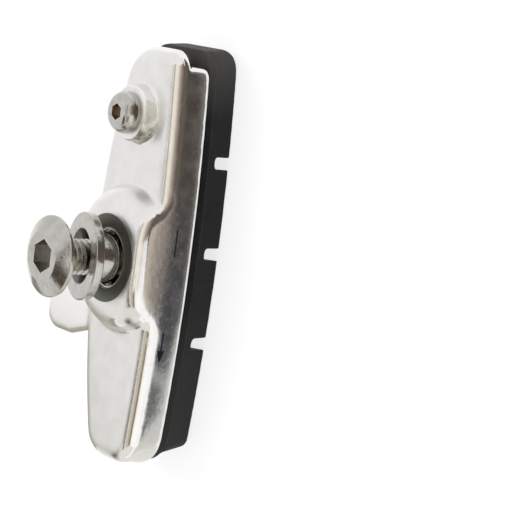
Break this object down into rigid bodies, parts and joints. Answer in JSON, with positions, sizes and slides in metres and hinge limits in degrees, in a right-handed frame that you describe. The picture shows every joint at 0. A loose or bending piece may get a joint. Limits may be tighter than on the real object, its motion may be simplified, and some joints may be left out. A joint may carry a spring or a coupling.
{
  "type": "threaded brake block",
  "caption": "Bicycle rim-brake block: bowed metal shoe with a grooved rubber pad, a wheel-guide ear and a socket-head fixing bolt with a tilting ball washer.",
  "frame": {"origin": "point of the braking face on the fixing bolt's axis", "axes": "+X along the shoe to the front of the bicycle, +Y to the outer side of the rim, +Z along the fixing bolt away from the rim"},
  "size_m": [0.0584, 0.0261, 0.0256],
  "materials": {
    "holder_metal": "polished",
    "pad_rubber": "matte",
    "fastener_metal": "bright plated",
    "button_rubber": "matte"
  },
  "bodies": {
    "root": {"shoe_holder": "holder_metal", "brake_pad": "pad_rubber", "pad_screw": "fastener_metal", "fixing_bolt": "fastener_metal", "ball_washer": "fastener_metal", "guide_bumper": "button_rubber"}
  },
  "joints": []
}
